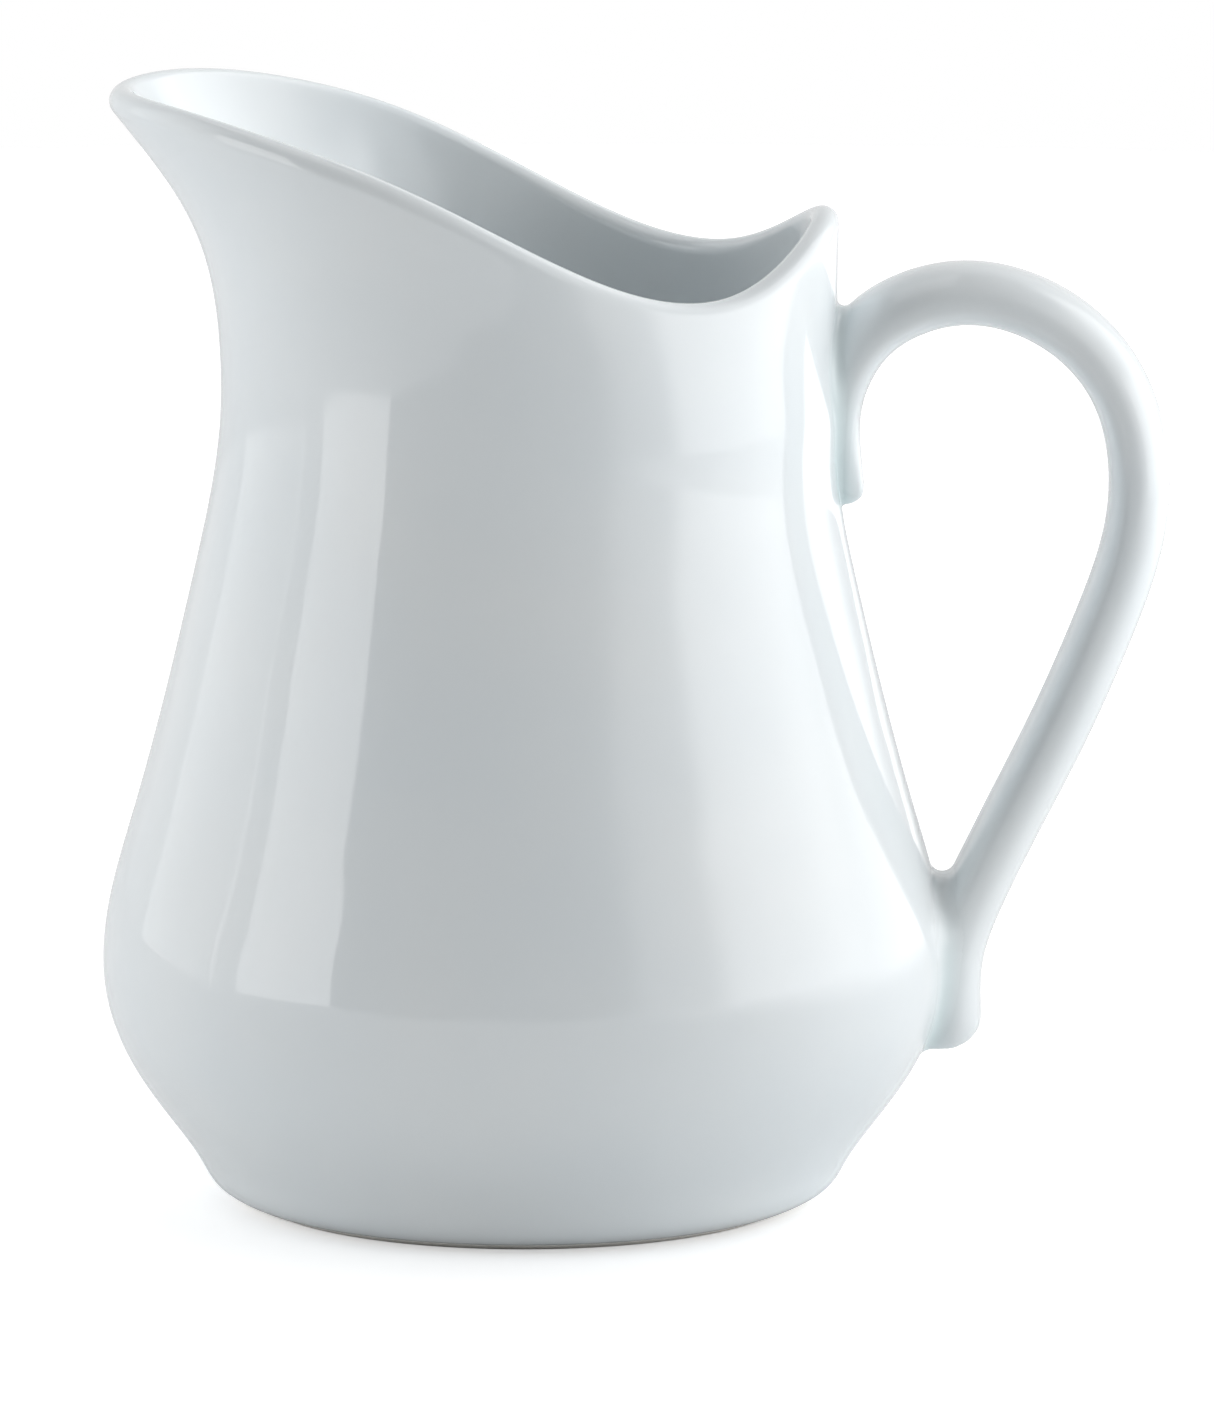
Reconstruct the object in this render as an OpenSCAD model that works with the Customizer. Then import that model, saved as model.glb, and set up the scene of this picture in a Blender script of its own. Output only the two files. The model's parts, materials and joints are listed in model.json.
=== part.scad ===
// Ceramic pitcher: slip-cast body with a standing ring, and a cast strap handle
// luted to it with two slip joints. Millimetres.
// Frame: origin at the centre of the standing face, +Z up, handle towards +X,
// spout towards -X. The pitcher is its own mirror image across the XZ plane.

/* [Body] */
// Greatest outside diameter of the belly
belly_d = 151; // [144:1:158]
// Outside diameter of the neck at its narrowest
neck_d = 111; // [107:1:115]
// Outside diameter of the standing edge
foot_d = 96; // [90:1:100]
// Height of the narrowest ring of the neck
neck_h = 142; // [136:1:146]
// Thickness of the cast wall
wall = 4.4; // [3.6:0.1:5]
// Height of the inside floor above the table
floor_h = 9; // [8:0.5:11]

/* [Rim and spout] */
// Height of the rim at the tip of the spout, under the lip bead
spout_h = 197; // [190:1:204]
// Distance of the spout's tip from the vessel's axis
spout_reach = 75; // [68:1:80]
// Height of the upswept rim over the handle
back_h = 179; // [176:1:184]
// Height of the rim's lowest dip, behind the middle of each side
dip_h = 164.5; // [161:0.5:168]
// How fast the neck flares into the rim: higher flares later
flare = 3.3; // [2.4:0.1:4]
// Radius of the rounded lip
lip_r = 2.5; // [2:0.1:2.8]

/* [Handle] */
// Width of the strap at mid-height
strap_w = 22; // [18:1:25]
// Depth of the strap's crowned outer side
crown = 6.6; // [6:0.1:7.2]
// Depth of the strap's flatter inner side
belly_side = 4.2; // [3.8:0.1:4.6]
// How far the handle stands out: 1 is as drawn
handle_out = 1; // [0.96:0.01:1.04]

/* [Slip joints] */
// Size of the slip fillet in the upper crotch
slip_upper = 3.8; // [2.8:0.1:4.4]
// Size of the slip fillet in the lower crotch
slip_lower = 6.2; // [4.5:0.1:7]

/* [Hidden] */

sx = belly_d / 151;
sz = neck_h / 142;

// ---- uniform cubic B-spline helpers ----
// The four weights at u along one span
function b4(u) =
    [pow(1 - u, 3), 3 * u * u * u - 6 * u * u + 4, 3 * (u + u * u - u * u * u) + 1, u * u * u] / 6;
// Control i of an open list whose ends are carried straight on, so the curve meets its end points
function ctl(p, i) = let (n = len(p) - 1) i < 0 ? 2 * p[0] - p[1] : i > n ? 2 * p[n] - p[n - 1] : p[i];
// Point at t, from 0 to the number of spans
function crv(p, t) =
    let (i = max(0, min(floor(t), len(p) - 2)), w = b4(t - i))
    w[0] * ctl(p, i - 1) + w[1] * ctl(p, i) + w[2] * ctl(p, i + 1) + w[3] * ctl(p, i + 2);
// Mirror-even closed ring of values, listed from the handle side (0 degrees) to the spout (180)
function mir(i, n) = i < 0 ? -i : i > n ? 2 * n - i : i;
function ringv(v, a) =
    let (
        n = len(v) - 1,
        m = abs(a) > 180 ? 360 - abs(a) : abs(a),
        q = m * n / 180,
        i = min(floor(q), n - 1),
        w = b4(q - i)
    )
    w[0] * v[mir(i - 1, n)] + w[1] * v[mir(i, n)] + w[2] * v[mir(i + 1, n)] + w[3] * v[mir(i + 2, n)];

// ---- vessel ----
// Outline controls below the neck: radius and height, from the standing edge up
low = [
    [foot_d / 2, 0],
    [56.3 * sx, 3],
    [58.1 * sx, 8],
    [63.3 * sx, 15],
    [71 * sx, 25 * sz],
    [76.3 * sx, 38 * sz],
    [75.3 * sx, 54 * sz],
    [69.5 * sx, 72 * sz],
    [64.2 * sx, 92 * sz],
    [59.5 * sx, 112 * sz],
    [neck_d / 2, 130 * sz]
];
neck_r = neck_d / 2;
// The neck leans a little towards the handle, and tucks in under the rim on that side
neck_lean = 1.5;
back_tuck = 1.1;
// Rim rail, every 22.5 degrees from the handle round to the spout
rail_r = [56.4, 55.3, 54.3, 54.1, 55.8, 59.5, 64.2, 69.5 + (spout_reach - 75) / 2, spout_reach + 0.2];
rail_z = [
    back_h,
    back_h - 6,
    dip_h + 0.4,
    dip_h + 2.6,
    (dip_h + spout_h) / 2 - 4,
    spout_h - 9,
    spout_h - 2.5,
    spout_h + 0.9,
    spout_h
];
// Shares of the way from the neck ring to the rim rail
steps = [0, 0.22, 0.45, 0.7, 1];
ROWS = len(low) + len(steps);
SPANS = ROWS - 1;
function rows_at(a) =
    let (
        rn = neck_r + neck_lean * cos(a),
        r = ringv(rail_r, a),
        z = ringv(rail_z, a),
        tuck = back_tuck * pow(max(0, cos(a)), 2)
    )
    concat(
        low,
        [for (v = steps) [rn + (r - rn) * pow(v, flare) - tuck * sin(180 * v), neck_h + (z - neck_h) * v]]
    );
// Unit outward normal of the control polygon at row k
function nrm(p, k) =
    let (d = p[min(k + 1, len(p) - 1)] - p[max(k - 1, 0)], l = norm(d))
    [d[1], -d[0]] / l;
function end_dir(p) = let (d = p[SPANS] - p[SPANS - 1]) d / norm(d);
// Inner controls: flat floor, then the outer controls moved in by the wall
function inner_rows(p) =
    let (e = end_dir(p))
    concat(
        [[0, floor_h], [22, floor_h], [40 * sx, floor_h], [51 * sx, floor_h + 1], [59.5 * sx, floor_h + 7.5]],
        [for (k = [4 : SPANS - 1]) p[k] - wall * nrm(p, k)],
        [p[SPANS] - 2 * lip_r * [e[1], -e[0]]]
    );
// One meridian of the body, from under the floor, up the outside, over the lip and down the inside
foot_t = 0.5;
foot_z = crv(low, foot_t)[1];
foot_edge = crv(low, foot_t)[0];
recess_z = 3.5;
function meridian(a) =
    let (
        p = rows_at(a),
        q = inner_rows(p),
        e = end_dir(p),
        n = [e[1], -e[0]],
        c = p[SPANS] - lip_r * n,
        m = len(q) - 1
    )
    concat(
        [[34, recess_z], [37, foot_z]],
        [for (t = [foot_t : 0.5 : SPANS]) crv(p, t)],
        [for (b = [30 : 30 : 150]) c + lip_r * (cos(b) * n + sin(b) * e)],
        [for (t = [m : -0.5 : 0.5]) crv(q, t)]
    );

BODY_N = 72;
module body() {
    turn = 360 / BODY_N;
    cols = [for (j = [0 : BODY_N - 1]) meridian(j * turn)];
    m = len(cols[0]);
    pts = concat(
        [for (j = [0 : BODY_N - 1]) for (q = cols[j]) [q[0] * cos(j * turn), q[0] * sin(j * turn), q[1]]],
        [[0, 0, recess_z], [0, 0, floor_h]]
    );
    tris = [
        for (j = [0 : BODY_N - 1])
            let (a = j * m, b = ((j + 1) % BODY_N) * m)
            each concat(
                [[a, b, BODY_N * m]],
                [for (i = [0 : m - 2]) each [[a + i, a + i + 1, b + i + 1], [a + i, b + i + 1, b + i]]],
                [[a + m - 1, BODY_N * m + 1, b + m - 1]]
            )
    ];
    color([0.86, 0.9, 0.92])
        polyhedron(points = pts, faces = tris, convexity = 8);
}

// The unglazed standing ring: its outside carries the body's outline down to the table
module foot_ring() {
    color([0.93, 0.9, 0.84])
        rotate_extrude($fn = 144)
            polygon(concat(
                [[40, 0]],
                [for (t = [0 : 0.125 : foot_t]) crv(low, t)],
                [[38.5, foot_z], [38.5, 1]]
            ));
}

// ---- handle ----
// Route of the strap from the tail's tip, over the top and down to the lower end:
// distance from the axis, height, half-width, crown depth and inner depth
hw = strap_w / 2;
function hx(x) = x * sx + (handle_out - 1) * max(0, x - 62);
route = [
    [hx(57.2), 129 * sz, 4.8, 5, belly_side - 0.6],
    [hx(56.2), 135 * sz, 8, 5.4, belly_side - 0.2],
    [hx(55.4), 144 * sz, 12, 6.4, belly_side],
    [hx(58.9), 153.4 * sz, 13.4, crown, belly_side],
    [hx(65.2), 160.2 * sz, 12.6, crown, belly_side],
    [hx(78.9), 164.7 * sz, hw + 0.4, crown, belly_side],
    [hx(94.8), 159.9 * sz, hw, crown, belly_side],
    [hx(107.5), 146.7 * sz, hw, crown, belly_side],
    [hx(110.1), 124.2 * sz, hw, crown, belly_side],
    [hx(103), 104.9 * sz, hw, crown, belly_side],
    [hx(95.2), 86.5 * sz, hw, crown, belly_side],
    [hx(86.9), 70.7 * sz, hw + 0.2, crown, belly_side - 0.2],
    [hx(80.1), 57 * sz, hw + 0.8, crown, belly_side - 0.4],
    [hx(75.2), 45 * sz, hw + 1, crown, belly_side + 0.8],
    [hx(75.6), 33.2 * sz, hw - 0.4, crown, belly_side + 4]
];
HS = len(route) - 1;
tip_e = 2.6;
end_e = 5.2;
// A point of the strap at s along the route and th round the section: 90 is the middle of
// the crown, -90 the middle of the inner side. Below 0 and above HS the end is rounded off
// over one unit of s, and closed over the next towards the side that lies in the body.
function hpt(s, th) =
    let (
        t = max(0, min(HS, s)),
        c = crv(route, t),
        d = crv(route, min(HS, t + 0.01)) - crv(route, max(0, t - 0.01)),
        l = norm([d[0], d[1]]),
        tx = d[0] / l,
        tz = d[1] / l,
        low_end = s > HS,
        x = low_end ? s - HS : s < 0 ? -s : 0,
        e = low_end ? end_e : tip_e,
        b = 90 * min(1, x),
        cut = e * (1 - cos(b)),
        run = e * sin(b) * (low_end ? 1 : -1),
        w = max(0, min(1, x - 1)),
        hy = c[2] - cut * (low_end ? 0.9 : 0.8),
        up = c[3] - (low_end ? cut : 0),
        dn = c[4] - (low_end ? 0 : cut),
        co = cos(th),
        si = sin(th),
        ex = si >= 0 ? 2 / 2.2 : 2 / 2.8,
        y = sign(co) * pow(abs(co), ex) * hy,
        n0 = (si >= 0 ? up : dn) * sign(si) * pow(abs(si), ex),
        n = n0 + ((low_end ? -dn : up) - n0) * w
    )
    [c[0] + tx * run - tz * n, y * (1 - w), c[1] + tz * run + tx * n];
// Where the outline rows p reach height z
function find_t(p, z, lo, hi, k) =
    k == 0 ? (lo + hi) / 2 :
    let (m = (lo + hi) / 2)
    crv(p, m)[1] < z ? find_t(p, z, m, hi, k - 1) : find_t(p, z, lo, m, k - 1);
function skin_r(a, z) = let (p = rows_at(a)) crv(p, find_t(p, z, 0, SPANS, 16))[0];
// Distance of a point outside the body's skin, measured level from the axis
function gap(q) = norm([q[0], q[1]]) - skin_r(atan2(q[1], q[0]), q[2]);
// The point moved level onto the skin
function on_skin(q) = let (a = atan2(q[1], q[0]), r = skin_r(a, q[2])) [r * cos(a), r * sin(a), q[2]];
// ---- seams, where the strap comes out of the body ----
// Each seam is found along lines that fan out from the buried corner of the strap's
// surface, in the plane of s and th. up = 1 is the upper joint, -1 the lower one.
function fan(up, psi, l) =
    up > 0
    ? [-2 + 8 * l * sin(psi), 90 - 180 * l * cos(psi)]
    : [HS + 2 - 8 * l * sin(psi), -90 + 180 * l * cos(psi)];
function far(psi) = min(1 / max(0.001, sin(psi)), 1 / max(0.001, cos(psi)));
function seam_l(up, psi, lo, hi, k) =
    k == 0 ? (lo + hi) / 2 :
    let (m = (lo + hi) / 2, f = fan(up, psi, m))
    gap(hpt(f[0], f[1])) < 0 ? seam_l(up, psi, m, hi, k - 1) : seam_l(up, psi, lo, m, k - 1);
function seam_f(up, psi) = fan(up, psi, seam_l(up, psi, 0, far(psi), 16));
// Start of the fan: the seam on the mirror plane at the strap's very end
function end_s(up, lo, hi, k) =
    k == 0 ? (lo + hi) / 2 :
    let (m = (lo + hi) / 2, q = hpt(up > 0 ? -2 + m : HS + 2 - m, up > 0 ? -90 : 90))
    gap(q) < 0 ? end_s(up, m, hi, k - 1) : end_s(up, lo, m, k - 1);
function first_psi(up) = atan(end_s(up, 0, 2, 14) / 8);
function pt(f) = hpt(f[0], f[1]);
function sums(v, i = 0, acc = 0) = i >= len(v) ? [] : concat([acc + v[i]], sums(v, i + 1, acc + v[i]));
// One side of a seam as SN + 1 evenly spaced places on the strap's surface
SN = 16;
function seam(up) =
    let (
        p0 = first_psi(up),
        m = 48,
        psi = [for (i = [0 : m]) p0 + (90 - p0) * i / m],
        q = [for (v = psi) pt(seam_f(up, v))],
        run = sums([for (i = [0 : m]) i == 0 ? 0 : norm(q[i] - q[i - 1])]),
        table = [for (i = [0 : m]) [run[i], psi[i]]]
    )
    [for (j = [0 : SN]) seam_f(up, j == 0 ? p0 : j == SN ? 90 : lookup(run[m] * j / SN, table))];
top_seam = seam(1);
low_seam = seam(-1);

// The free strap runs between these two sections
S_TOP = 4.4;
S_LOW = 11.6;
FAN_N = 10;
LOW_FAN_N = 16;
// Half a ring, from the middle of the inner side to the middle of the crown, made whole
function mirrored(v) = concat(v, [for (j = [len(v) - 2 : -1 : 1]) [v[j][0], -v[j][1], v[j][2]]]);
function section_f(s) = [for (j = [0 : SN]) [s, -90 + 180 * j / SN]];
// Share x of the way from a seam to a free section
function between(a, b, x) = [for (j = [0 : SN]) a[j] + (b[j] - a[j]) * x];
function ring_of(fs) = mirrored([for (f = fs) pt(f)]);
low_seam_up = [for (j = [SN : -1 : 0]) low_seam[j]];
// Rings from the upper seam to the first free section, then down the strap to the lower seam
strap_rings = concat(
    [for (i = [0 : FAN_N]) ring_of(between(top_seam, section_f(S_TOP), pow(i / FAN_N, 1.3)))],
    [for (s = [S_TOP + 0.24 : 0.24 : S_LOW - 0.1]) ring_of(section_f(s))],
    [for (i = [LOW_FAN_N : -1 : 0]) ring_of(between(low_seam_up, section_f(S_LOW), pow(i / LOW_FAN_N, 1.2)))]
);
// Rings on the skin, from a seam in towards the middle of its joint
heart_z = [146 * sz, 42 * sz];
function skin_pt(a, z) = let (r = skin_r(a, z)) [r * cos(a), r * sin(a), z];
function skin_ring(ring, z, x) = [for (q = ring) skin_pt(atan2(q[1], q[0]) * x, z + (q[2] - z) * x)];
module handle() {
    n = 2 * SN;
    first = strap_rings[0];
    last = strap_rings[len(strap_rings) - 1];
    rings = concat(
        [for (x = [0.25 : 0.25 : 0.75]) skin_ring(first, heart_z[0], x)],
        strap_rings,
        [for (x = [0.75 : -0.25 : 0.25]) skin_ring(last, heart_z[1], x)]
    );
    k = len(rings);
    pts = concat([for (r = rings) each r], [skin_pt(0, heart_z[0]), skin_pt(0, heart_z[1])]);
    tris = concat(
        [for (j = [0 : n - 1]) [k * n, j, (j + 1) % n]],
        [
            for (i = [0 : k - 2])
                for (j = [0 : n - 1])
                    let (a = i * n + j, b = i * n + (j + 1) % n)
                    each (j < SN ? [[a, a + n, b], [b, a + n, b + n]] : [[a, a + n, b + n], [a, b + n, b]])
        ],
        [for (j = [0 : n - 1]) [k * n + 1, (k - 1) * n + (j + 1) % n, (k - 1) * n + j]]
    );
    color([0.8, 0.86, 0.9])
        polyhedron(points = pts, faces = tris, convexity = 6);
}

// ---- slip joints ----
// A step uphill, away from the body, along the strap's surface
function climb(f, step, k) =
    k == 0 ? [f] :
    let (
        h = 0.02,
        q = pt(f),
        g = gap(q),
        qs = (hpt(f[0] + h, f[1]) - q) / h,
        qt = hpt(f[0], f[1] + 1) - q,
        gs = (gap(q + qs * h) - g) / h,
        gt = gap(q + qt) - g,
        aa = qs * qs,
        bb = qs * qt,
        cc = qt * qt,
        det = max(aa * cc - bb * bb, 0.000001),
        ds = (cc * gs - bb * gt) / det,
        dt = (aa * gt - bb * gs) / det,
        m = step / max(norm(ds * qs + dt * qt), 0.0001)
    )
    concat([f], climb([f[0] + ds * m, f[1] + dt * m], step, k - 1));
function flat(v) = v / max(norm(v), 0.000001);
function skin_n(q) =
    let (a = on_skin(q), b = on_skin(q + [0, 0.5, 0]), c = on_skin(q + [0, 0, 0.5]))
    flat(cross(b - a, c - a));
// Fillet sizes round each seam, from the strap's end along its side to the crotch
slip_sizes = [
    [[0.6], [0.9], [1.5], [2.2], [3], [slip_upper], [slip_upper]],
    [[0.6], [1.4], [3.2], [4], [4.6], [slip_lower * 1.1], [slip_lower]]
];
// How far the slip is keyed into the scored clay of the castings on both sides
key_in = 0.3;
// Arc that leaves the skin at a, towards the seam c, and meets the strap at b along its surface
function arc_pts(c, a, b, tb, n) =
    let (
        bend = 180 - acos(max(-1, min(1, flat(a - c) * -tb))),
        h = bend < 4 ? 0.66 : 4 / 3 * tan(bend / 4) / tan(bend / 2),
        a1 = a + (c - a) * h,
        b1 = b + tb * norm(c - b) * h
    )
    [
        for (i = [1 : n - 1])
            let (u = i / n, v = 1 - u)
            v * v * v * a + 3 * v * v * u * a1 + 3 * v * u * u * b1 + u * u * u * b
    ];
module slip_joint(fs, sizes, mid) {
    cs = [for (f = fs) pt(f)];
    half = [
        for (j = [0 : SN])
            let (
                c = cs[j],
                size = crv(sizes, j / SN * (len(sizes) - 1))[0],
                prev = j == 0 ? [cs[1][0], -cs[1][1], cs[1][2]] : cs[j - 1],
                next = j == SN ? [cs[SN - 1][0], -cs[SN - 1][1], cs[SN - 1][2]] : cs[j + 1],
                side = cross(skin_n(c), flat(next - prev)),
                out = flat(side * sign(side * (c - mid))),
                a = on_skin(c + size * out),
                up = [for (f = climb(fs[j], size / 3, 3)) pt(f)],
                in_body = -key_in * flat(up[3] - c),
                in_strap = -key_in * flat(a - c)
            )
            concat(
                [c + in_body + in_strap, c + (a - c) * 0.6 + in_body, a],
                arc_pts(c, a, up[3], flat(up[2] - up[3]), 5),
                [up[3], up[2] + in_strap, up[1] + in_strap]
            )
    ];
    ring = concat(half, [for (j = [SN - 1 : -1 : 1]) [for (q = half[j]) [q[0], -q[1], q[2]]]]);
    n = len(ring);
    k = len(ring[0]);
    polyhedron(
        points = [for (r = ring) each r],
        faces = [
            for (i = [0 : n - 1])
                for (j = [0 : k - 1])
                    let (
                        a = i * k + j,
                        b = i * k + (j + 1) % k,
                        c = ((i + 1) % n) * k + j,
                        d = ((i + 1) % n) * k + (j + 1) % k
                    )
                    each (i < SN ? [[a, b, c], [b, d, c]] : [[a, d, c], [a, b, d]])
        ],
        convexity = 8
    );
}
module upper_slip_joint() {
    color([0.55, 0.8, 0.82])
        slip_joint(top_seam, slip_sizes[0], [neck_r, 0, heart_z[0]]);
}
module lower_slip_joint() {
    color([0.5, 0.75, 0.85])
        slip_joint(low_seam, slip_sizes[1], [74 * sx, 0, heart_z[1]]);
}

body();
foot_ring();
handle();
upper_slip_joint();
lower_slip_joint();
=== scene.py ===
"""The looks of the ceramic pitcher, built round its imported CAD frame.

Row frame, metres: origin at the centre of the standing face, +Z up, handle towards +X, spout
towards -X. The shapes below are the CAD solids' own curves in millimetres, drawn with finer
steps. Their dimensions repeat the CAD part's, and only the camera takes its size from the frame.
"""

import json
import math

import bpy
import numpy as np
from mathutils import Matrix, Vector

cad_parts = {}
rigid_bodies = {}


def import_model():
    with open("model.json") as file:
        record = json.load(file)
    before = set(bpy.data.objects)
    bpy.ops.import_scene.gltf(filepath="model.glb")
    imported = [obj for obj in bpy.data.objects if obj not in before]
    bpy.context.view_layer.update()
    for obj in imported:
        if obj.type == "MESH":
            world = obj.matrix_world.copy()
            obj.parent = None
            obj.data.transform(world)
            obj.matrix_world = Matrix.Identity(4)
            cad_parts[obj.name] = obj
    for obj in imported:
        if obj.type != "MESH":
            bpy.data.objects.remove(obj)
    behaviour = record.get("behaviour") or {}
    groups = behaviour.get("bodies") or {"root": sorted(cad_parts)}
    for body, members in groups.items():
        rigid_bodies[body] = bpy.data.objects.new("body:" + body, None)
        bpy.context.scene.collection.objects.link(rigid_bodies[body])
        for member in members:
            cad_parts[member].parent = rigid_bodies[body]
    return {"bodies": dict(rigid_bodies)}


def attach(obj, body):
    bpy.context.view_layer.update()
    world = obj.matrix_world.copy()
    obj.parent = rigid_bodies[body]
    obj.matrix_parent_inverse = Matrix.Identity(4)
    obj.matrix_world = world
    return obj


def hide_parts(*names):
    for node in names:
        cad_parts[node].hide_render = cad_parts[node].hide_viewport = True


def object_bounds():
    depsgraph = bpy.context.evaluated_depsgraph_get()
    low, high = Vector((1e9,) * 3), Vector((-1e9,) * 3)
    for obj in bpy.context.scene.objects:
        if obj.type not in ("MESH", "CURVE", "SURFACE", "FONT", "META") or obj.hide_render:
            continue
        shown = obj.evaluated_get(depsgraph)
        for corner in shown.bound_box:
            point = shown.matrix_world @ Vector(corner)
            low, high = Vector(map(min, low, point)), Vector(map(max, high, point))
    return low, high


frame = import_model()
cad_low, cad_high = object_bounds()
MM = 0.001

# ---- driving dimensions, as in the CAD part, in millimetres ----
NECK_D = 111
FOOT_D = 96
NECK_H = 142
WALL = 4.4
FLOOR_H = 9
SPOUT_H = 197
SPOUT_REACH = 75
BACK_H = 179
DIP_H = 164.5
FLARE = 3.3
LIP_R = 2.5
STRAP_W = 22
CROWN = 6.6
BELLY_SIDE = 4.2
SLIP_UPPER = 3.8
SLIP_LOWER = 6.2


# ---- uniform cubic B-splines ----
def weights(u):
    """The four weights at u along one span, on a last axis."""
    return np.stack([(1 - u) ** 3, 3 * u**3 - 6 * u**2 + 4, 3 * (u + u**2 - u**3) + 1, u**3], -1) / 6


def curve(rows, t):
    """Points at t of the open curve over control rows (..., row, value).

    Both ends are carried straight on.
    """
    rows, t = np.asarray(rows, float), np.asarray(t, float)
    first = 2 * rows[..., :1, :] - rows[..., 1:2, :]
    last = 2 * rows[..., -1:, :] - rows[..., -2:-1, :]
    whole = np.concatenate([first, rows, last], -2)
    whole = np.broadcast_to(whole, t.shape + whole.shape[-2:])
    i = np.clip(np.floor(t).astype(int), 0, rows.shape[-2] - 2)
    w = weights(t - i)
    picked = [np.take_along_axis(whole, (i + k)[..., None, None], -2)[..., 0, :] for k in range(4)]
    return sum(w[..., k, None] * picked[k] for k in range(4))


def ring_value(values, angle):
    """A mirror-even ring of values, listed from 0 to 180 degrees, at any angle."""
    n = len(values) - 1
    ring = np.array(list(values) + list(values)[-2:0:-1], float)
    q = (np.asarray(angle, float) % 360) * n / 180
    i = np.floor(q).astype(int)
    w = weights(q - i)
    return sum(w[..., k] * ring[(i + k - 1) % (2 * n)] for k in range(4))


# ---- the vessel's outline ----
LOW = np.array(
    [
        [FOOT_D / 2, 0],
        [56.3, 3],
        [58.1, 8],
        [63.3, 15],
        [71, 25],
        [76.3, 38],
        [75.3, 54],
        [69.5, 72],
        [64.2, 92],
        [59.5, 112],
        [NECK_D / 2, 130],
    ]
)
NECK_R = NECK_D / 2
NECK_LEAN = 1.5
BACK_TUCK = 1.1
RAIL_R = [56.4, 55.3, 54.3, 54.1, 55.8, 59.5, 64.2, 69.5, SPOUT_REACH + 0.2]
RAIL_Z = [
    BACK_H,
    BACK_H - 6,
    DIP_H + 0.4,
    DIP_H + 2.6,
    (DIP_H + SPOUT_H) / 2 - 4,
    SPOUT_H - 9,
    SPOUT_H - 2.5,
    SPOUT_H + 0.9,
    SPOUT_H,
]
STEPS = [0, 0.22, 0.45, 0.7, 1]
SPANS = len(LOW) + len(STEPS) - 1


def outline(angle):
    """Control rows (..., row, [radius, height]) of the outside at an angle, in degrees."""
    angle = np.asarray(angle, float)
    lean = np.cos(np.radians(angle))
    neck = NECK_R + NECK_LEAN * lean
    r, z = ring_value(RAIL_R, angle), ring_value(RAIL_Z, angle)
    tuck = BACK_TUCK * np.maximum(0, lean) ** 2
    low = np.broadcast_to(LOW, angle.shape + LOW.shape)
    high = [
        np.stack([neck + (r - neck) * v**FLARE - tuck * math.sin(math.pi * v), NECK_H + (z - NECK_H) * v], -1)
        for v in STEPS
    ]
    return np.concatenate([low, np.stack(high, -2)], -2)


def unit(v):
    return v / np.maximum(np.linalg.norm(v, axis=-1, keepdims=True), 1e-9)


def outward(d):
    """The direction (radius, height) turned a quarter outward."""
    return np.stack([d[..., 1], -d[..., 0]], -1)


def inner_outline(rows):
    """Control rows of the inside: a flat floor, then the outside moved in by the wall."""
    floor = [[0, FLOOR_H], [22, FLOOR_H], [40, FLOOR_H], [51, FLOOR_H + 1], [59.5, FLOOR_H + 7.5]]
    floor = np.broadcast_to(np.array(floor, float), rows.shape[:-2] + (5, 2))
    normals = outward(unit(rows[..., 5:, :] - rows[..., 3:-2, :]))
    wall = rows[..., 4:-1, :] - WALL * normals
    end = outward(unit(rows[..., -1, :] - rows[..., -2, :]))
    lip = rows[..., -1, :] - 2 * LIP_R * end
    return np.concatenate([floor, wall, lip[..., None, :]], -2)


def turned(profile, angle):
    """Points (..., [radius, height]) at an angle round the axis, as x, y, z."""
    a = np.radians(angle)
    x, y = profile[..., 0] * np.cos(a), profile[..., 0] * np.sin(a)
    return np.stack([x, y, np.broadcast_to(profile[..., 1], x.shape)], -1)


# ---- mesh building ----
def make_mesh(name, points, faces, normals=None):
    """A smooth-shaded object from millimetre points; normals, if given, are one per point."""
    mesh = bpy.data.meshes.new(name)
    mesh.from_pydata((np.asarray(points) * MM).tolist(), [], [list(map(int, f)) for f in faces])
    mesh.validate()
    mesh.shade_smooth()
    if normals is not None:
        mesh.normals_split_custom_set_from_vertices(normals.tolist())
    obj = bpy.data.objects.new(name, mesh)
    bpy.context.scene.collection.objects.link(obj)
    return obj


def ring_faces(rings, sides, flip=False):
    """Quads between consecutive closed rings of points, listed ring by ring."""
    faces = []
    for i in range(rings - 1):
        for j in range(sides):
            a, b = i * sides + j, i * sides + (j + 1) % sides
            quad = (a, b, b + sides, a + sides)
            faces.append(quad[::-1] if flip else quad)
    return faces


def cap(centre, start, sides, flip=False):
    """Triangles from one centre point to a closed ring that begins at start."""
    tris = [(centre, start + (j + 1) % sides, start + j) for j in range(sides)]
    return [t[::-1] for t in tris] if flip else tris


# ---- body ----
BODY_SIDES = 288
ROW_STEP = 0.125
LIP_STEPS = 18
FOOT_T = 0.5
RECESS_Z = 3.5
FOOT_Z = curve(LOW, np.array(FOOT_T))[1]


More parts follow.
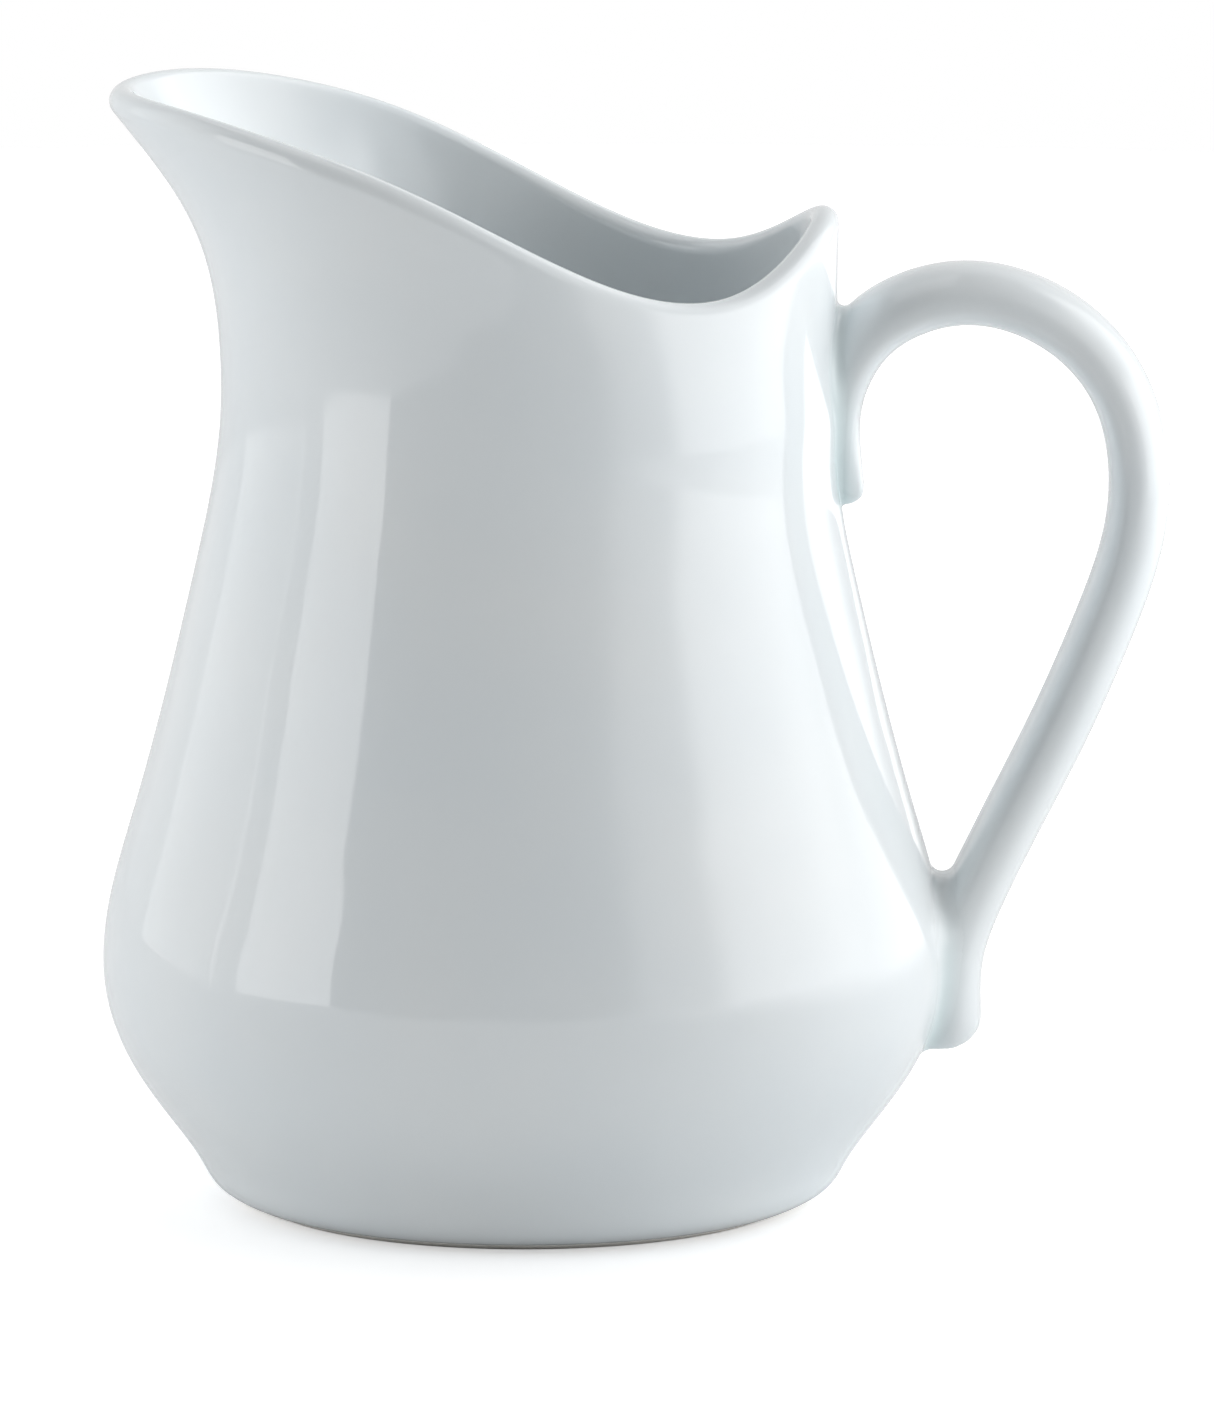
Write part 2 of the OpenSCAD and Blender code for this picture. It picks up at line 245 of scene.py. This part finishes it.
def meridians(angle):
    """One line of points per angle: from under the floor, up the outside, over the lip, down the inside."""
    rows = outline(angle)
    inner = inner_outline(rows)
    out_t = np.arange(FOOT_T, SPANS + ROW_STEP / 2, ROW_STEP)
    in_t = np.arange(inner.shape[-2] - 1, ROW_STEP / 2, -ROW_STEP)
    column = (len(angle), 1)
    outside = curve(rows[:, None], np.broadcast_to(out_t, (len(angle), len(out_t))))
    inside = curve(inner[:, None], np.broadcast_to(in_t, (len(angle), len(in_t))))
    end = unit(rows[:, -1] - rows[:, -2])[:, None]
    side = outward(end)
    centre = rows[:, -1][:, None] - LIP_R * side
    bow = np.radians(np.linspace(0, 180, LIP_STEPS + 1)[1:-1]).reshape(1, -1, 1)
    lip = centre + LIP_R * (np.cos(bow) * side + np.sin(bow) * end)
    recess = [[20, RECESS_Z], [33, RECESS_Z], [34.6, RECESS_Z - 0.3], [36.4, FOOT_Z + 0.3], [37.5, FOOT_Z]]
    recess = np.broadcast_to(np.array(recess), (len(angle), 5, 2))
    line = np.concatenate([recess, outside, lip, inside], 1)
    return turned(line, np.reshape(angle, column))


def body():
    angle = np.arange(BODY_SIDES) * 360 / BODY_SIDES
    points = np.swapaxes(meridians(angle), 0, 1)
    rings, sides = points.shape[:2]
    points = points.reshape(-1, 3)
    low_pole, high_pole = len(points), len(points) + 1
    faces = ring_faces(rings, sides)
    faces += cap(low_pole, 0, sides) + cap(high_pole, (rings - 1) * sides, sides, flip=True)
    points = np.concatenate([points, [[0, 0, RECESS_Z], [0, 0, FLOOR_H]]])
    return make_mesh("pitcher_body", points, faces)


# ---- standing ring ----
RING_SIDES = 192
RING_IN = 40
EDGE_R = 0.5


def foot_ring():
    """The bare ring that the pitcher stands on, its lower edges ground off."""
    outer = curve(LOW, np.linspace(0.06, FOOT_T, 8))
    bow = np.radians(np.linspace(0, 90, 5))
    outer_edge = np.stack([outer[0, 0] - EDGE_R * (1 - np.sin(bow)), EDGE_R * (1 - np.cos(bow))], -1)
    inner_edge = np.stack([RING_IN + EDGE_R * (1 - np.sin(bow)), EDGE_R * (1 - np.cos(bow))], -1)[::-1]
    line = np.concatenate([[[38.5, FOOT_Z], [38.5, 1.1]], inner_edge, outer_edge, outer])
    angle = np.arange(RING_SIDES) * 360 / RING_SIDES
    points = turned(line[:, None], angle[None])
    faces = ring_faces(len(line) + 1, RING_SIDES)
    total = len(line) * RING_SIDES
    faces = [tuple(i % total for i in f) for f in faces]
    return make_mesh("standing_ring", points.reshape(-1, 3), faces)


# ---- strap handle ----
HALF_W = STRAP_W / 2
# Distance from the axis, height, half-width, crown depth and inner depth along the strap
ROUTE = np.array(
    [
        [57.2, 129, 4.8, 5, BELLY_SIDE - 0.6],
        [56.2, 135, 8, 5.4, BELLY_SIDE - 0.2],
        [55.4, 144, 12, 6.4, BELLY_SIDE],
        [58.9, 153.4, 13.4, CROWN, BELLY_SIDE],
        [65.2, 160.2, 12.6, CROWN, BELLY_SIDE],
        [78.9, 164.7, HALF_W + 0.4, CROWN, BELLY_SIDE],
        [94.8, 159.9, HALF_W, CROWN, BELLY_SIDE],
        [107.5, 146.7, HALF_W, CROWN, BELLY_SIDE],
        [110.1, 124.2, HALF_W, CROWN, BELLY_SIDE],
        [103, 104.9, HALF_W, CROWN, BELLY_SIDE],
        [95.2, 86.5, HALF_W, CROWN, BELLY_SIDE],
        [86.9, 70.7, HALF_W + 0.2, CROWN, BELLY_SIDE - 0.2],
        [80.1, 57, HALF_W + 0.8, CROWN, BELLY_SIDE - 0.4],
        [75.2, 45, HALF_W + 1, CROWN, BELLY_SIDE + 0.8],
        [75.6, 33.2, HALF_W - 0.4, CROWN, BELLY_SIDE + 4],
    ]
)
LAST = len(ROUTE) - 1
TIP_R = 2.6
END_R = 5.2


def strap(f):
    """Strap surface at f = (..., [s along the route, degrees round the section]).

    90 degrees is the middle of the crown and -90 the middle of the inner side. Past either end of
    the route the strap is rounded off over one unit of s, then closed over the next.
    """
    s, th = f[..., 0], np.radians(f[..., 1])
    t = np.clip(s, 0, LAST)
    c = curve(ROUTE, t)
    d = curve(ROUTE, np.minimum(LAST, t + 0.01)) - curve(ROUTE, np.maximum(0, t - 0.01))
    along = unit(d[..., :2])
    low_end = s > LAST
    x = np.where(low_end, s - LAST, np.where(s < 0, -s, 0))
    end = np.where(low_end, END_R, TIP_R)
    bow = np.radians(90 * np.minimum(1, x))
    cut = end * (1 - np.cos(bow))
    run = end * np.sin(bow) * np.where(low_end, 1, -1)
    shut = np.clip(x - 1, 0, 1)
    half = c[..., 2] - cut * np.where(low_end, 0.9, 0.8)
    up = c[..., 3] - np.where(low_end, cut, 0)
    down = c[..., 4] - np.where(low_end, 0, cut)
    co, si = np.cos(th), np.sin(th)
    power = np.where(si >= 0, 2 / 2.2, 2 / 2.8)
    y = np.sign(co) * np.abs(co) ** power * half
    n = np.where(si >= 0, up, down) * np.sign(si) * np.abs(si) ** power
    n = n + (np.where(low_end, -down, up) - n) * shut
    x_out = c[..., 0] + along[..., 0] * run - along[..., 1] * n
    z_out = c[..., 1] + along[..., 1] * run + along[..., 0] * n
    return np.stack([x_out, y * (1 - shut), z_out], -1)


def skin_radius(angle, height):
    """Radius of the body's outside at an angle, in degrees, and a height."""
    rows = outline(angle)
    low, high = np.zeros(np.shape(angle)), np.full(np.shape(angle), float(SPANS))
    for _ in range(22):
        mid = (low + high) / 2
        below = curve(rows, mid)[..., 1] < height
        low, high = np.where(below, mid, low), np.where(below, high, mid)
    return curve(rows, (low + high) / 2)[..., 0]


def angle_of(q):
    return np.degrees(np.arctan2(q[..., 1], q[..., 0]))


def gap(q):
    """How far a point lies outside the body's skin, measured level from the axis."""
    return np.hypot(q[..., 0], q[..., 1]) - skin_radius(angle_of(q), q[..., 2])


def on_skin(q):
    """The point moved level onto the skin."""
    a = angle_of(q)
    r = skin_radius(a, q[..., 2])
    return np.stack([r * np.cos(np.radians(a)), r * np.sin(np.radians(a)), q[..., 2]], -1)


def bisect(test, low, high, steps=24):
    """Where test turns from true to false between low and high, for arrays."""
    for _ in range(steps):
        mid = (low + high) / 2
        inside = test(mid)
        low, high = np.where(inside, mid, low), np.where(inside, high, mid)
    return (low + high) / 2


def fan(upper, psi, reach):
    """A place on the strap at a share of the way along a line from its buried corner."""
    s, c = 8 * reach * np.sin(psi), 180 * reach * np.cos(psi)
    return np.stack([-2 + s, 90 - c], -1) if upper else np.stack([LAST + 2 - s, -90 + c], -1)


SEAM_SIDES = 48


def seam(upper):
    """One side of the line where the strap comes out of the body, as evenly spaced places on the strap."""

    def buried_end(length):
        start = -2 + length if upper else LAST + 2 - length
        return gap(strap(np.array([start, -90 if upper else 90]))) < 0

    first = math.atan(bisect(buried_end, np.array(0.0), np.array(2.0)) / 8)
    psi = np.linspace(first, math.pi / 2, 4 * SEAM_SIDES + 1)
    reach = np.minimum(1 / np.maximum(1e-3, np.sin(psi)), 1 / np.maximum(1e-3, np.cos(psi)))
    found = fan(upper, psi, bisect(lambda v: gap(strap(fan(upper, psi, v))) < 0, 0 * psi, reach))
    points = strap(found)
    run = np.concatenate([[0], np.cumsum(np.linalg.norm(np.diff(points, axis=0), axis=1))])
    even = np.interp(np.linspace(0, run[-1], SEAM_SIDES + 1), run, psi)
    reach = np.minimum(1 / np.maximum(1e-3, np.sin(even)), 1 / np.maximum(1e-3, np.cos(even)))
    return fan(upper, even, bisect(lambda v: gap(strap(fan(upper, even, v))) < 0, 0 * even, reach))


def mirrored(half):
    """Half a ring, from the middle of the inner side to the middle of the crown, made whole."""
    return np.concatenate([half, half[-2:0:-1] * [1, -1, 1]])


S_TOP = 4.4
S_LOW = 11.6
FREE_STEP = 0.08
FAN_TOP = 30
FAN_LOW = 48
HEART_Z = [146, 42]


def skin_ring(ring, z, share):
    """A ring on the skin, moved in from a seam towards the middle of its joint at height z."""
    a, height = angle_of(ring) * share, z + (ring[:, 2] - z) * share
    r = skin_radius(a, height)
    return np.stack([r * np.cos(np.radians(a)), r * np.sin(np.radians(a)), height], -1)


def handle(top_seam, low_seam):
    """The strap from the upper seam to the lower one, closed at each end by a patch on the skin."""
    th = np.linspace(-90, 90, SEAM_SIDES + 1)

    def section(s):
        return np.stack([np.full_like(th, s), th], -1)

    def between(a, b, share):
        return mirrored(strap(a + (b - a) * share))

    low_up = low_seam[::-1]
    rings = [between(top_seam, section(S_TOP), (i / FAN_TOP) ** 1.3) for i in range(FAN_TOP + 1)]
    rings += [mirrored(strap(section(s))) for s in np.arange(S_TOP + FREE_STEP, S_LOW - 0.03, FREE_STEP)]
    rings += [between(low_up, section(S_LOW), (i / FAN_LOW) ** 1.2) for i in range(FAN_LOW, -1, -1)]
    first, last = rings[0], rings[-1]
    rings = [skin_ring(first, HEART_Z[0], x) for x in (0.25, 0.5, 0.75)] + rings
    rings += [skin_ring(last, HEART_Z[1], x) for x in (0.75, 0.5, 0.25)]
    sides = 2 * SEAM_SIDES
    points = np.concatenate(rings)
    ends = [[skin_radius(np.array(0.0), np.array(float(z))), 0, z] for z in HEART_Z]
    faces = ring_faces(len(rings), sides)
    faces += cap(len(points), 0, sides) + cap(len(points) + 1, (len(rings) - 1) * sides, sides, flip=True)
    return make_mesh("strap_handle", np.concatenate([points, ends]), faces)


# ---- slip joints ----
ARC_STEPS = 14
CLIMB_STEPS = 6
KEY_IN = 0.3
# Fillet sizes round each seam, from the strap's end along its side to the crotch
UPPER_SIZES = [0.6, 0.9, 1.5, 2.2, 3, SLIP_UPPER, SLIP_UPPER]
LOWER_SIZES = [0.6, 1.4, 3.2, 4, 4.6, SLIP_LOWER * 1.1, SLIP_LOWER]


def dot(a, b):
    return (a * b).sum(-1, keepdims=True)


def climb(f, step):
    """Places reached by stepping uphill along the strap, away from the body, each step a set length."""
    places = [f]
    for _ in range(CLIMB_STEPS):
        h = 0.02
        q = strap(f)
        g = gap(q)[:, None]
        qs = (strap(f + [h, 0]) - q) / h
        qt = strap(f + [0, 1]) - q
        gs = (gap(q + qs * h)[:, None] - g) / h
        gt = gap(q + qt)[:, None] - g
        aa, bb, cc = dot(qs, qs), dot(qs, qt), dot(qt, qt)
        det = np.maximum(aa * cc - bb * bb, 1e-6)
        ds, dt = (cc * gs - bb * gt) / det, (aa * gt - bb * gs) / det
        length = np.linalg.norm(ds * qs + dt * qt, axis=-1, keepdims=True)
        move = step[:, None] / CLIMB_STEPS / np.maximum(length, 1e-4)
        f = f + np.concatenate([ds, dt], -1) * move
        places.append(f)
    return places


def skin_normal(q):
    a, b, c = on_skin(q), on_skin(q + [0, 0.3, 0]), on_skin(q + [0, 0, 0.3])
    return unit(np.cross(b - a, c - a))


def strap_normal(f):
    """Outward normal of the strap at places f."""
    ds = strap(f + [0.02, 0]) - strap(f - [0.02, 0])
    dt = strap(f + [0, 0.5]) - strap(f - [0, 0.5])
    return unit(np.cross(dt, ds))


def slip_joint(name, places, sizes, heart):
    """The fillet of slip and glaze that fills the corner between the strap and the body along one seam."""
    c = strap(places)
    share = np.linspace(0, len(sizes) - 1, len(c))
    size = curve(np.array(sizes, float)[:, None], share)
    before = np.concatenate([c[1:2] * [1, -1, 1], c[:-1]])
    after = np.concatenate([c[1:], c[-2:-1] * [1, -1, 1]])
    side = np.cross(skin_normal(c), unit(after - before))
    out = unit(side * np.sign(dot(side, c - np.array(heart))))
    a = on_skin(c + size * out)
    steps = climb(places, size[:, 0])
    b, near = strap(steps[-1]), strap(steps[-2])
    tangent = unit(near - b)
    bend = np.pi - np.arccos(np.clip(dot(unit(a - c), -tangent), -1, 1))
    reach = np.where(bend < 0.07, 0.66, 4 / 3 * np.tan(bend / 4) / np.tan(np.maximum(bend, 0.01) / 2))
    a1, b1 = a + (c - a) * reach, b + tangent * np.linalg.norm(c - b, axis=-1, keepdims=True) * reach
    u = (np.arange(ARC_STEPS + 1) / ARC_STEPS)[:, None, None]
    arc = (1 - u) ** 3 * a + 3 * (1 - u) ** 2 * u * a1 + 3 * (1 - u) * u**2 * b1 + u**3 * b
    in_body, in_strap = -KEY_IN * unit(b - c), -KEY_IN * unit(a - c)
    buried = [strap(f) + in_strap for f in steps[-2:0:-2]]
    rows = np.concatenate([arc, buried, (c + in_body + in_strap)[None], (c + (a - c) * 0.6 + in_body)[None]])
    normals = np.gradient(arc, axis=0, edge_order=2)
    normals = unit(np.cross(normals, np.gradient(arc, axis=1, edge_order=2)))
    normals *= np.sign(dot(normals, arc - (c + in_body + in_strap)))
    normals[:, [0, -1], 1] = 0
    normals = unit(normals)
    normals[0], normals[-1] = skin_normal(a), strap_normal(steps[-1])
    hidden = np.broadcast_to(normals[-1], rows[len(arc) :].shape)
    normals = np.concatenate([normals, hidden])
    whole = [np.concatenate([half, half[:, -2:0:-1] * [1, -1, 1]], 1) for half in (rows, normals)]
    lines, sides = whole[0].shape[:2]
    faces = [tuple(i % (lines * sides) for i in f) for f in ring_faces(lines + 1, sides)]
    return make_mesh(name, whole[0].reshape(-1, 3), faces, whole[1].reshape(-1, 3))


top_seam, low_seam = seam(True), seam(False)
shown = {
    "body": body(),
    "foot_ring": foot_ring(),
    "handle": handle(top_seam, low_seam),
    "upper_slip_joint": slip_joint("upper_slip", top_seam, UPPER_SIZES, [NECK_R, 0, HEART_Z[0]]),
    "lower_slip_joint": slip_joint("lower_slip", low_seam, LOWER_SIZES, [74, 0, HEART_Z[1]]),
}


# ---- camera ----
HEIGHT = cad_high.z
PITCH = math.radians(9.97)
FOCAL_PX = 15050
FRAME_H_PX = 1425
SENSOR = 36
AIM = 0.402 * HEIGHT
DISTANCE = 13.4 * HEIGHT
SHIFT = (0.0582, 0.0279)


def add_camera():
    """The view from in front and a little above, square to the mirror plane, through a long lens."""
    target = Vector((0, 0, AIM))
    back = Vector((0, -math.cos(PITCH), math.sin(PITCH)))
    data = bpy.data.cameras.new("camera")
    data.sensor_width = SENSOR
    data.lens = SENSOR * FOCAL_PX / FRAME_H_PX
    data.shift_x, data.shift_y = SHIFT
    data.clip_start, data.clip_end = 0.1, 100
    cam = bpy.data.objects.new("camera", data)
    cam.location = target + back * DISTANCE
    cam.rotation_mode = "QUATERNION"
    cam.rotation_quaternion = (-back).to_track_quat("-Z", "Y")
    bpy.context.scene.collection.objects.link(cam)
    bpy.context.scene.camera = cam


add_camera()


# ---- materials ----
class Nodes:
    """A material's node tree, with short calls to add nodes and link them."""

    def __init__(self, name):
        self.material = bpy.data.materials.new(name)
        self.material.use_nodes = True
        self.tree = self.material.node_tree
        self.shader = self.tree.nodes["Principled BSDF"]
        self.place = self.add("ShaderNodeTexCoord").outputs["Object"]

    def add(self, kind, **values):
        node = self.tree.nodes.new(kind)
        for key, value in values.items():
            if key in node.inputs:
                node.inputs[key].default_value = value
            else:
                setattr(node, key, value)
        return node

    def link(self, a, b):
        self.tree.links.new(a, b)

    def noise(self, scale, detail=2.0, rough=0.5):
        """Noise at a scale in features per metre."""
        node = self.add("ShaderNodeTexNoise", Scale=scale, Detail=detail, Roughness=rough)
        self.link(self.place, node.inputs["Vector"])
        return node.outputs["Fac"]

    def spread(self, value, low, high, start=0.0, end=1.0):
        """A value remapped from low..high to start..end and held there."""
        node = self.add("ShaderNodeMapRange")
        node.inputs["From Min"].default_value, node.inputs["From Max"].default_value = low, high
        node.inputs["To Min"].default_value, node.inputs["To Max"].default_value = start, end
        self.link(value, node.inputs["Value"])
        return node.outputs["Result"]

    def mix(self, share, a, b):
        """A colour between a and b; each is a colour or a socket."""
        node = self.add("ShaderNodeMix", data_type="RGBA")
        for value, socket in ((share, node.inputs["Factor"]), (a, node.inputs[6]), (b, node.inputs[7])):
            if isinstance(value, bpy.types.NodeSocket):
                self.link(value, socket)
            else:
                socket.default_value = value if isinstance(value, float) else (*value, 1)
        return node.outputs[2]

    def bump(self, height, distance, strength=1.0, under=None):
        node = self.add("ShaderNodeBump", Distance=distance, Strength=strength)
        self.link(height, node.inputs["Height"])
        if under:
            self.link(under, node.inputs["Normal"])
        return node.outputs["Normal"]


def glaze(name, white, cool, pooled):
    """Clear gloss glaze over porcelain: faint cool mottling, colour where it pools, soft ripples."""
    n = Nodes(name)
    mottle = n.spread(n.noise(22, 3), 0.35, 0.65)
    base = n.mix(mottle, white, cool)
    pool = n.add("ShaderNodeAttribute", attribute_name="pool").outputs["Fac"]
    base = n.mix(pool, base, pooled)
    n.link(base, n.shader.inputs["Base Color"])
    n.link(n.spread(n.noise(45, 3), 0.3, 0.7, 0.045, 0.075), n.shader.inputs["Roughness"])
    ripple = n.bump(n.noise(38, 1.0), 0.0004)
    skin = n.bump(n.noise(420, 2.0), 0.000004, under=ripple)
    n.link(skin, n.shader.inputs["Normal"])
    n.shader.inputs["IOR"].default_value = 1.5
    return n.material


def bare_clay(name):
    """Fired porcelain with no glaze, ground smooth: warm, matt and finely grained."""
    n = Nodes(name)
    grain = n.spread(n.noise(900, 4, 0.7), 0.3, 0.7)
    n.link(n.mix(grain, (0.84, 0.82, 0.77), (0.89, 0.87, 0.83)), n.shader.inputs["Base Color"])
    n.link(n.spread(n.noise(500, 3), 0.3, 0.7, 0.55, 0.75), n.shader.inputs["Roughness"])
    n.link(n.bump(n.noise(1600, 4, 0.7), 0.00006), n.shader.inputs["Normal"])
    return n.material


POOL_REACH = 2.6
POOL_DEPTH = 0.5


def mark_pools(piece):
    """Gives each vertex how deep the glaze has pooled there: deepest along a seam, gone some way off."""
    flat = np.empty(len(piece.data.vertices) * 3)
    piece.data.vertices.foreach_get("co", flat)
    places = flat.reshape(-1, 3) / MM
    near = np.full(len(places), 1e3)
    for q in np.concatenate([strap(top_seam), strap(low_seam)]):
        for side in (1, -1):
            near = np.minimum(near, np.linalg.norm(places - q * [1, side, 1], axis=1))
    depth = POOL_DEPTH * np.exp(-((near / POOL_REACH) ** 2))
    piece.data.attributes.new("pool", "FLOAT", "POINT").data.foreach_set("value", depth)


WHITE = (0.83, 0.87, 0.885)
COOL = (0.8, 0.85, 0.875)
POOLED = (0.6, 0.78, 0.79)
white_glaze = glaze("white_glaze", WHITE, COOL, POOLED)
handle_glaze = glaze("handle_glaze", WHITE, COOL, POOLED)
pooled_glaze = glaze("pooled_glaze", WHITE, COOL, POOLED)
finishes = {
    "body": ("white_glaze", white_glaze),
    "foot_ring": ("bare_foot", bare_clay("bare_foot")),
    "handle": ("handle_glaze", handle_glaze),
    "upper_slip_joint": ("pooled_glaze", pooled_glaze),
    "lower_slip_joint": ("pooled_glaze", pooled_glaze),
}
for node, piece in shown.items():
    slot_name, finish = finishes[node]
    if node != "foot_ring":
        mark_pools(piece)
    piece.data.materials.append(finish)
    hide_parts(node)
    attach(piece, next(iter(frame["bodies"])))


# ---- studio ----
# Angles round the pitcher are in degrees from the camera's side, positive towards the handle.
TABLE_R = 1.07
TABLE_BACK = 0.35
BACKDROP = 1.0
# Zones of the room: azimuth where each rises and falls, height band on the unit sphere, brightness
ZONES = {
    "left_back": ((-131, -130, -94, -92), (-0.6, -0.55, 0.7, 0.85), 1.35),
    "front_right": ((24, 36, 50, 62), (-0.6, -0.55, 0.7, 0.85), 1.05),
    "right": ((50, 62, 76, 86), (-0.6, -0.55, 0.3, 0.4), 3.2),
    "right_high": ((50, 62, 76, 86), (0.3, 0.4, 0.7, 0.85), 1.1),
    "far_right": ((76, 86, 100, 112), (-0.6, -0.55, 0.3, 0.4), 3.0),
    "far_right_high": ((76, 86, 100, 112), (0.3, 0.4, 0.7, 0.85), 1.6),
    "right_back": ((100, 112, 135, 150), (-0.6, -0.55, 0.7, 0.85), 2.1),
    "back": ((135, 150, 181, 182), (-0.6, -0.55, 0.7, 0.85), 0.8),
    "back_left": ((-182, -181, -131, -130), (-0.6, -0.55, 0.7, 0.85), 0.8),
    "top": ((-182, -181, 181, 182), (0.7, 0.85, 1.1, 1.2), 0.35),
}
PANEL_GLOW = 1.1
CORE_GLOW = 1.7
TOP_GLOW = 1.0
# The floor glows on the handle's side; LIT_SIDE is where along X, in metres, this rises and falls
FLOOR_GLOW = 1.4
LIT_SIDE = (0.2, 0.65, 8, 9)
# What the camera alone sees the floor brightened by
FLOOR_SEEN = 0.45


def math_node(tree, operation, *values):
    """A math node's output; each value is a number or a socket."""
    node = tree.nodes.new("ShaderNodeMath")
    node.operation = operation
    for socket, value in zip(node.inputs, values):
        if isinstance(value, bpy.types.NodeSocket):
            tree.links.new(value, socket)
        else:
            socket.default_value = value
    return node.outputs[0]


def band(tree, value, edges):
    """One between the middle two edges, falling smoothly to zero at the outer two."""
    shares = []
    for low, high in (edges[:2], edges[:1:-1]):
        node = tree.nodes.new("ShaderNodeMapRange")
        node.interpolation_type = "SMOOTHSTEP"
        node.inputs["From Min"].default_value, node.inputs["From Max"].default_value = low, high
        tree.links.new(value, node.inputs["Value"])
        shares.append(node.outputs["Result"])
    return math_node(tree, "MULTIPLY", *shares)


def room():
    """A world that is dim in front, bright on the handle's side and overhead, and white behind."""
    world = bpy.data.worlds.new("room")
    world.use_nodes = True
    bpy.context.scene.world = world
    tree = world.node_tree
    place = tree.nodes.new("ShaderNodeTexCoord").outputs["Generated"]
    parts = tree.nodes.new("ShaderNodeSeparateXYZ")
    tree.links.new(place, parts.inputs[0])
    x, y, z = parts.outputs
    around = math_node(tree, "ARCTAN2", x, math_node(tree, "MULTIPLY", y, -1.0))
    around = math_node(tree, "MULTIPLY", around, 180 / math.pi)
    total = 0.0
    for name, (turn, rise, level) in ZONES.items():
        share = math_node(tree, "MULTIPLY", band(tree, around, turn), band(tree, z, rise))
        total = math_node(tree, "MULTIPLY_ADD", share, level, total)
        total.node.name = name
    seen = tree.nodes.new("ShaderNodeLightPath").outputs["Is Camera Ray"]
    mix = tree.nodes.new("ShaderNodeMix")
    tree.links.new(seen, mix.inputs["Factor"])
    tree.links.new(total, mix.inputs["A"])
    mix.inputs["B"].default_value = BACKDROP
    tree.links.new(mix.outputs["Result"], tree.nodes["Background"].inputs["Color"])


def plain(name, colour, glow, seen_glow):
    """A matt stage material that glows on its lit side, and a little more to the camera."""
    material = bpy.data.materials.new(name)
    material.use_nodes = True
    shader = material.node_tree.nodes["Principled BSDF"]
    shader.inputs["Base Color"].default_value = (*colour, 1)
    shader.inputs["Roughness"].default_value = 0.9
    shader.inputs["Specular IOR Level"].default_value = 0.1
    shader.inputs["Emission Color"].default_value = (1, 1, 1, 1)
    tree = material.node_tree
    seen = tree.nodes.new("ShaderNodeLightPath").outputs["Is Camera Ray"]
    parts = tree.nodes.new("ShaderNodeSeparateXYZ")
    tree.links.new(tree.nodes.new("ShaderNodeTexCoord").outputs["Object"], parts.inputs[0])
    lit = band(tree, parts.outputs[0], LIT_SIDE)
    total = math_node(tree, "MULTIPLY_ADD", seen, seen_glow, math_node(tree, "MULTIPLY", lit, glow))
    tree.links.new(total, shader.inputs["Emission Strength"])
    return material


def floor():
    """A pale round table top, set back from the camera."""
    sides = 180
    turns = np.arange(sides) * 2 * math.pi / sides
    ring = [[TABLE_R * math.cos(a), TABLE_BACK + TABLE_R * math.sin(a), 0] for a in turns]
    mesh = bpy.data.meshes.new("floor")
    mesh.from_pydata(ring, [], [tuple(range(sides))])
    mesh.materials.append(plain("floor", (0.9, 0.905, 0.91), FLOOR_GLOW, FLOOR_SEEN))
    obj = bpy.data.objects.new("floor", mesh)
    bpy.context.scene.collection.objects.link(obj)


def area_light(name, width, depth, glow):
    """An area light of a set brightness, hidden from the camera."""
    data = bpy.data.lights.new(name, "AREA")
    data.shape = "RECTANGLE"
    data.size, data.size_y = width, depth
    data.energy = glow * math.pi * width * depth
    obj = bpy.data.objects.new(name, data)
    obj.visible_camera = False
    bpy.context.scene.collection.objects.link(obj)
    return obj


def softbox(name, turn, distance, width, low, high, glow):
    """An upright area light facing the pitcher, from height low to height high."""
    obj = area_light(name, width, high - low, glow)
    away = Vector((math.sin(math.radians(turn)), -math.cos(math.radians(turn)), 0))
    obj.location = away * distance + Vector((0, 0, (low + high) / 2))
    obj.rotation_mode = "QUATERNION"
    obj.rotation_quaternion = away.to_track_quat("Z", "Y")


room()
floor()
softbox("left_softbox", -72.5, 1.35, 0.956, -0.6, 1.1, PANEL_GLOW)
softbox("softbox_core", -67.5, 1.3, 0.67, -0.6, 0.9, CORE_GLOW)
area_light("top_softbox", 0.5, 0.9, TOP_GLOW).location = (-0.2, 0.3, 1.2)
bpy.context.scene.view_settings.view_transform = "Standard"
